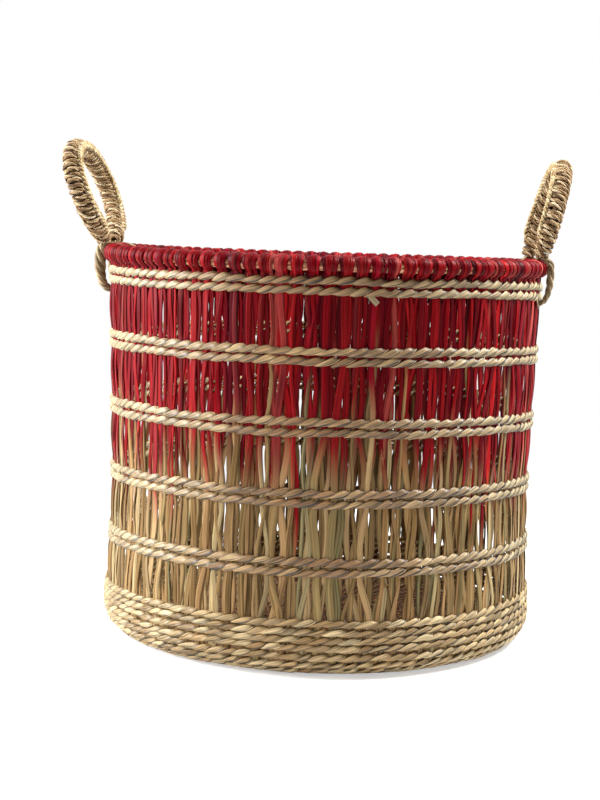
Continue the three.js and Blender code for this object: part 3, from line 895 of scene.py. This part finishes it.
# Handles: a rope bent to a loop, wrapped across with a twisted cord, and a plait along the side that
# faces the basket's inside.
handles = {
    "handle_left": {
        "place": 47,  # of the loop's middle, in bundles from the right
        "legs": 2,  # bundles from the loop's middle to each leg
        "lean": 20.7,  # degrees outward
        "setOut": 0.0096,  # of the legs from the middle of the rim
        "height": 0.0865,
        "swell": 0.0345,  # how far the loop swells past its legs on each side
        "hingeLevel": 0.3507715,
    },
    "handle_right": {
        "place": 0, "legs": 4, "lean": 14.8, "setOut": 0.004, "height": 0.0764, "swell": 0.0009,
        "hingeLevel": 0.3507715,
    },
}
handleCord = {
    "seed": 31,
    "rope": 0.009,  # length over which the inner rope is drawn in, and what is left of its area
    "ropeEnd": 0.05,
    "ropeStrands": 3,
    "ropeLay": 0.0029,  # from the rope's middle to a strand's
    "ropeStrand": 0.0034,
    "ropeTurn": 0.0045,  # length in which it turns by one radian
    "ropeSteps": 220,
    # The rope's lowered brightness is painted shade for the gaps in the wrapping.
    "ropeShade": 0.8,
    "wrap": 0.0067,  # from the loop's middle line to the cord's
    "strand": 0.00102,
    "strands": 3,
    "lay": (0.75, 1.2),  # from the cord's middle to a strand's, outward and along the loop, in strands
    "spacing": 0.0045,
    "spacingVaries": 0.16,
    "twists": 2.6,  # of the cord for each turn round the rope
    "twistsVary": 0.8,
    "turnSteps": 30,
    "bulge": 0.07,
    "slim": (0.14, 0.014),  # how much thinner the wrapping is at the feet, and over what length
    "below": 0.007,  # how far the wrapping goes on past the hinge, and how far it closes there
    "closes": 0.998,
    # The first strand's place on the ramp, the step to the next, and waves in place and brightness.
    "wrapShades": (0.2, 0.3, 0.3, 0.12),
    "plaitShades": (0.3, 0.2, 0.4, 0.1),
    "outside": 0.0083,  # from the middle line to the plait's, and at the feet
    "drawnIn": 0.0052,
    "plaitFrom": 0.0072,  # where the plait starts, and where it stands fully out
    "plaitFull": 0.016,
    "plait": 0.0012,
    "plaitFlat": 1.2,
    "link": 0.009,  # length of one link of the plait
    "linkSteps": 18,
    "swing": 0.34,  # angle round the rope to which a strand of the plait swings, and how far it rises
    "cross": 0.0013,
}
loopSteps = {"leg": 200, "arch": 400, "fine": 2000}  # points of a handle's middle line


# Middle line of a handle in the plane of its loop, evenly spaced: legs that curve out to the loop's
# widest, then half an ellipse. The point is (0, y, z) from the hinge.
def handleLine(look, count):
    legOffset = (basket["rimRadius"] + look["setOut"]) * np.sin(look["legs"] * pitch)
    halfWidth = legOffset + look["swell"]
    swellHeight = look["height"] / (1 + np.sqrt(halfWidth / (2 * look["swell"])))
    t = np.linspace(0, 1, loopSteps["leg"], endpoint=False)
    leg = np.stack([halfWidth - look["swell"] * (1 - t) ** 2, swellHeight * t], -1)
    a = np.linspace(0, np.pi, loopSteps["arch"])
    arch = np.stack([halfWidth * np.cos(a), swellHeight + (look["height"] - swellHeight) * np.sin(a)], -1)
    line = np.concatenate([leg, arch, leg[::-1] * [-1, 1]])
    along = np.concatenate([[0], np.cumsum(np.linalg.norm(np.diff(line, axis=0), axis=1))])
    even = np.linspace(0, along[-1], count)
    y, z = np.interp(even, along, line[:, 0]), np.interp(even, along, line[:, 1])
    return np.stack([np.zeros(count), y, z], -1), along[-1]


# Hinge's place, and the turn that stands the loop's plane on the rim and leans it out.
def handleFrame(look):
    place, lean = look["place"] * pitch, np.radians(look["lean"])
    out = (basket["rimRadius"] + look["setOut"]) * np.cos(look["legs"] * pitch)
    about = np.array([[np.cos(place), -np.sin(place), 0], [np.sin(place), np.cos(place), 0], [0, 0, 1]])
    tipped = np.array([[np.cos(lean), 0, np.sin(lean)], [0, 1, 0], [-np.sin(lean), 0, np.cos(lean)]])
    return about @ tipped, about @ np.array([out, 0, look["hingeLevel"]])


# Point beside the handle's middle line: at an angle round it, from the line's own side to the
# outward side of the loop's plane.
def besideLine(line, angle, radius):
    ahead = unit(np.gradient(line, axis=0))
    across = np.stack([np.zeros(len(line)), ahead[:, 2], -ahead[:, 1]], -1)
    flat = np.array([1.0, 0, 0])
    out = flat * np.sin(angle)[..., None] + across * np.cos(angle)[..., None]
    return line + out * np.asarray(radius)[..., None], out


def makeHandle(name, look, cord):
    dice = np.random.default_rng(cord["seed"] + look["legs"])
    about, hinge = handleFrame(look)

    def swept(part, centres, outs, halfWidth, halfDepth, sides, tones):  # stood in its place on the rim
        return sweep(f"{name}_{part}", np.stack(centres) @ about.T + hinge, np.stack(outs) @ about.T,
                     halfWidth, halfDepth, oval(sides), tones)

    # Tone along strand k: a place on the colour ramp and a brightness, both with waves along the loop.
    def wavering(t, k, shades, placeWaves, lightWaves):
        first, step, placeBy, lightBy = shades
        places = np.clip(first + step * k + placeBy * ripple(dice, t * turn, 8, placeWaves), 0, 1)
        lights = 1 + lightBy * ripple(dice, t * turn, 20, lightWaves)
        return np.stack([places, np.full(len(t), 0.5), np.zeros(len(t)), lights], -1)

    # Rope inside: thick strands twisted together, drawn in at both ends. Its dark colours and lowered
    # brightness are painted shade, seen in the gaps of the wrapping.
    count, steps = cord["ropeStrands"], cord["ropeSteps"]
    line, length = handleLine(look, steps)
    t = np.linspace(0, length, steps)
    drawnIn = np.clip(1 - np.minimum(t, length - t) / cord["rope"], 0, 1)
    ends = np.sqrt(np.clip(1 - drawnIn ** 2, cord["ropeEnd"], 1))
    phases = turn * np.arange(count)[:, None] / count + t / cord["ropeTurn"]
    centres, outs = zip(*[besideLine(line, phase, cord["ropeLay"] * ends) for phase in phases])
    tone = np.stack([dice.random(count), dice.random(count), np.zeros(count),
                     np.full(count, cord["ropeShade"])], -1)
    thick = cord["ropeStrand"] * ends
    piece = swept("core", centres, outs, thick, thick, 8, tone[:, None].repeat(steps, 1))
    finish(piece, ropeShadeFibre, name, "rope", f"{name}_rope")

    # Wrapping: a loose cord of strands wound round the rope, drawn in to a round end at each foot.
    below = cord["below"]
    fine = handleLine(look, loopSteps["fine"])[0]
    onward = unit(fine[0] - fine[1]) * below
    fine = np.concatenate([[fine[0] + onward], fine, [fine[-1] + onward * [1, -1, 1]]])
    fineAt = np.concatenate([[-below], np.linspace(0, length, loopSteps["fine"]), [length + below]])

    def lineAt(along):  # the middle line at a length along it
        return np.stack([np.interp(along, fineAt, fine[:, c]) for c in range(3)], -1)

    turnsRound = int((length + 2 * below) / cord["spacing"])
    t = np.linspace(0, 1, turnsRound * cord["turnSteps"])
    angle = turn * turnsRound * t
    uneven = cord["spacingVaries"] / turnsRound * ripple(dice, t * turn, 6, turnsRound)
    along = -below + (length + 2 * below) * (t + uneven)
    beyond = np.clip(np.maximum(-along, along - length) / below, 0, cord["closes"])
    bulge = 1 + cord["bulge"] * ripple(dice, t * turn, turnsRound // 3, turnsRound * 2)
    less, within = cord["slim"]
    slim = 1 - less + less * smooth(0, within, np.minimum(along, length - along))
    seat = cord["wrap"] * slim * bulge * np.sqrt(1 - beyond ** 2)
    line = lineAt(along)
    ahead = unit(np.gradient(lineAt(-below + (length + 2 * below) * t), axis=0))
    layOut, layAlong = cord["lay"]
    strands, outs, tones = [], [], []
    for k in range(cord["strands"]):
        uneven = cord["twistsVary"] * ripple(dice, t * turn, 10, turnsRound)
        phase = cord["twists"] * angle + k * turn / cord["strands"] + uneven
        point, out = besideLine(line, angle, seat + layOut * cord["strand"] * np.cos(phase))
        strands.append(point + ahead * (layAlong * cord["strand"] * np.sin(phase))[:, None])
        outs.append(out)
        tones.append(wavering(t, k, cord["wrapShades"], turnsRound * 2, turnsRound * 3))
    wrap = swept("cord", strands, outs, cord["strand"], cord["strand"], 7, np.stack(tones))

    # Plait: three strands along the inner side, drawn in at the feet. Each swings across as
    # (sin, sin 2) of its phase, once in one and a half links.
    links = int(length / cord["link"])
    t = np.linspace(0, 1, links * cord["linkSteps"])
    along = cord["plaitFrom"] + (length - 2 * cord["plaitFrom"]) * t
    line = lineAt(along)
    rises = smooth(cord["plaitFrom"], cord["plaitFull"], np.minimum(along, length - along))
    outside = cord["drawnIn"] + (cord["outside"] - cord["drawnIn"]) * rises
    strands, outs, tones = [], [], []
    for k in range(3):
        phase = turn * links * t / 1.5 + k * turn / 3
        point, out = besideLine(line, -turn / 4 + cord["swing"] * np.sin(phase),
                                outside + cord["cross"] * np.sin(2 * phase))
        strands.append(point)
        outs.append(out)
        tones.append(wavering(t, k, cord["plaitShades"], links, links * 2))
    plait = swept("plait", strands, outs, cord["plait"] * cord["plaitFlat"], cord["plait"], 7,
                  np.stack(tones))
    finish(plait, plaitFibre, name, "wrapping")
    finish(wrap, cordFibre, name, "wrapping", f"{name}_wrapping")


cordLook = {
    "colours": [(84, 60, 34), (122, 94, 60), (150, 121, 83), (180, 154, 116), (212, 193, 158)],
    "streaks": 1.2, "streakAlong": 90.0, "streakDepth": 1.2, "patches": 0.3, "patchAlong": 80.0,
    # The edge value paints shade along each strand's edges.
    "bump": 0.9, "rough": 0.55, "gloss": 0.2, "edge": 0.4,
}
cordFibre = fibreMaterial("wrapping_cord", cordLook)
# The inner rope's dark colours are painted shade, seen through the gaps in the wrapping.
ropeShadeFibre = fibreMaterial("inner_rope_painted_shade", cordLook | {"colours": [(74, 52, 30), (92, 66, 38), (66, 46, 28)]})
plaitFibre = fibreMaterial("plaited_ridge", cordLook | {
    "colours": [(156, 126, 84), (192, 168, 124), (222, 204, 166)],
})
for name, look in handles.items():
    makeHandle(name, look, handleCord)
print("handles made")


# Lashings: strands twisted together down the outside of the rim and the top band, in through the wall
# under the band and up inside. The route is closed: radius, height, spread to the sides and spread
# in and out. Line = the smooth curve through the route's points, a cubic between each two.
lashing = {
    "seed": 51,
    "steps": 240,
    "middle": (0.1905, 0.324),  # radius and height that the route goes round
    "leastCrest": 0.1976,
    "brightness": (0.85, 1.1),
    "handle_left": {"strands": 4, "thick": 0.0025, "apart": 0.0029, "out": 0.2053, "twists": 4,
                    "lift": 0.0035},
    "handle_right": {"strands": 3, "thick": 0.0018, "apart": 0.0017, "out": 0.2046, "twists": 5,
                     "lift": 0.0},
}


def makeLashings(look):
    dice = np.random.default_rng(look["seed"])
    steps = look["steps"]
    for name, handle in handles.items():
        own = look[name]
        crest = max(look["leastCrest"], basket["rimRadius"] + handle["setOut"])
        out, lift = own["out"], own["lift"]
        route = np.array([
            (crest - 0.002, 0.3446, 1.0, 0.6), (0.1905, 0.3416 + lift, 1.0, 0.3),
            (0.1845, 0.3388 + lift, 1.0, 0.35), (0.1812, 0.333, 1.0, 0.6),
            (0.1800, 0.320, 1.0, 0.7), (0.1803, 0.3095, 0.8, 0.7),
            (0.187, 0.3045, 0.5, 0.7), (0.1960, 0.3045, 0.5, 0.75),
            (out - 0.0036, 0.3085, 0.75, 0.8), (out - 0.0008, 0.317, 0.9, 0.9),
            (out, 0.327, 1.0, 1.0), (max(out - 0.0008, crest + 0.001), 0.3395, 1.0, 0.95),
        ])
        n = len(route)
        t = np.arange(steps) / steps * n
        k, f = t.astype(int), (t % 1)[:, None]
        p = [route[(k + d) % n] for d in (-1, 0, 1, 2)]
        line = 0.5 * (2 * p[1] + (p[2] - p[0]) * f + (2 * p[0] - 5 * p[1] + 4 * p[2] - p[3]) * f ** 2
                      + (3 * p[1] - p[0] - 3 * p[2] + p[3]) * f ** 3)
        ahead = np.roll(line, -1, 0) - np.roll(line, 1, 0)
        normal = unit(np.stack([-ahead[:, 1], ahead[:, 0]], -1))
        normal = normal * np.sign((normal * (line[:, :2] - look["middle"])).sum(-1, keepdims=True))
        count = own["strands"]
        twist = own["twists"] * np.arange(steps) / steps
        phase = turn * (np.arange(count)[:, None] / count + twist)
        aside = own["apart"] * line[:, 2] * np.cos(phase)
        raised = own["apart"] * line[:, 3] ** 2 * np.sin(phase)
        r, z = line[:, 0] + raised * normal[:, 0], line[:, 1] + raised * normal[:, 1]
        halfWidth, halfDepth = own["thick"] * np.sqrt(line[:, 2]), own["thick"] * line[:, 3]
        for leg, sign in (("first", -1), ("second", 1)):
            angle = (handle["place"] + sign * handle["legs"]) * pitch + aside / basket["rimRadius"]
            piece = sweep(f"{name}_{leg}_tie", around(angle, r, z), around(angle, normal[:, 0], normal[:, 1]),
                          halfWidth, halfDepth, oval(8), strandTones(dice, count, steps, look["brightness"]),
                          loop=True)
            finish(piece, tieFibre, "basket", "lashing", f"{name}_{leg}_lashing")


tieFibre = fibreMaterial("lashing_strand", cordLook | {
    "colours": [(116, 96, 68), (156, 134, 100), (190, 168, 134), (136, 116, 82)],
})
makeLashings(lashing)
print("lashings made")


# 1 for what is seen by the camera, straight, mirrored or through something clear.
def seenDirectly(start):
    rays = ("Is Camera Ray", "Is Glossy Ray", "Is Transmission Ray")
    camera, glossy, through = [start.node("LightPath", {}, {}, ray) for ray in rays]
    return (camera + glossy + through).clamped()


# Studio: a white surround, a large soft light from the left, a weaker one from the right and a faint
# one from above. Each lamp has a place, a size and a power.
studio = {
    "surround": 0.12,  # its light on the object
    "aim": (0, 0, 0.2),
    "left": ((-1.8, -0.12, 0.85), 1.3, 90.0),
    "right": ((0.8, 0.0, 1.15), 0.5, 34.0),
    "top": ((0.1, -0.2, 2.2), 1.4, 8.0),
    "floorRadius": 6.0,
    "floorLevel": -0.0002,
    "floorSides": 96,
    "floorLift": 0.5,  # its own light where it holds the shadow
    "shadowWithin": (0.3, 0.6),  # radius of the shadow's floor, and the width over which it turns white
}


def lightStudio(look):
    scene = bpy.context.scene
    scene.view_settings.view_transform = "Standard"
    world = bpy.data.worlds.new("surround")
    scene.world = world
    world.use_nodes = True
    world.node_tree.nodes.clear()
    start = Wire(world.node_tree)
    strength = seenDirectly(start) * (1.0 - look["surround"]) + look["surround"]
    light = start.node("Background", {}, {"Color": (1, 1, 1, 1), "Strength": strength})
    start.node("OutputWorld", {}, {"Surface": light})
    for name in ("left", "right", "top"):
        place, size, power = look[name]
        data = bpy.data.lights.new(f"light_{name}", "AREA")
        data.size = size
        data.energy = power
        lamp = bpy.data.objects.new(f"light_{name}", data)
        aim = np.array(look["aim"]) - place
        back = -unit(aim)
        # Across the lamp and level, or along x for a lamp right above.
        right = unit(np.cross([0, 0, 1.0], back) if abs(back[2]) < 0.99 else np.array([1.0, 0, 0]))
        turned = Matrix(np.stack([right, np.cross(back, right), back], 1).tolist()).to_4x4()
        lamp.matrix_world = Matrix.Translation(place) @ turned
        scene.collection.objects.link(lamp)


# Floor: a wide disc, white for the camera but for the object's shadow close by.
def layFloor(look):
    sides = look["floorSides"]
    corners = around(turn * np.arange(sides) / sides, look["floorRadius"], look["floorLevel"])
    mesh = bpy.data.meshes.new("floor")
    mesh.from_pydata(corners.tolist(), [], [list(range(sides))])
    floor = bpy.data.objects.new("floor", mesh)
    bpy.context.scene.collection.objects.link(floor)
    material = bpy.data.materials.new("pale_floor")
    material.use_nodes = True
    tree = material.node_tree
    tree.nodes.clear()
    start = Wire(tree)
    spot = start.node("TexCoord", {}, {}, 3)
    x = start.node("SeparateXYZ", {}, {"Vector": spot}, 0)
    y = start.node("SeparateXYZ", {}, {"Vector": spot}, 1)
    away = start.maths("SQRT", x * x + y * y)
    near, fade = look["shadowWithin"]
    far = ((away - near) / fade).clamped()
    seen = seenDirectly(start)
    matt = start.node("BsdfPrincipled", {}, {
        "Base Color": (0.9, 0.9, 0.9, 1), "Roughness": 0.9, "Specular IOR Level": 0.1,
        "Emission Color": (1, 1, 1, 1), "Emission Strength": seen * look["floorLift"],
    })
    bright = start.node("Emission", {}, {"Color": (1, 1, 1, 1), "Strength": 1.0})
    both = start.node("MixShader", {}, {0: far * seen, 1: matt, 2: bright})
    start.node("OutputMaterial", {}, {"Surface": both})
    mesh.materials.append(material)


lightStudio(studio)
layFloor(studio)
print("studio lit")
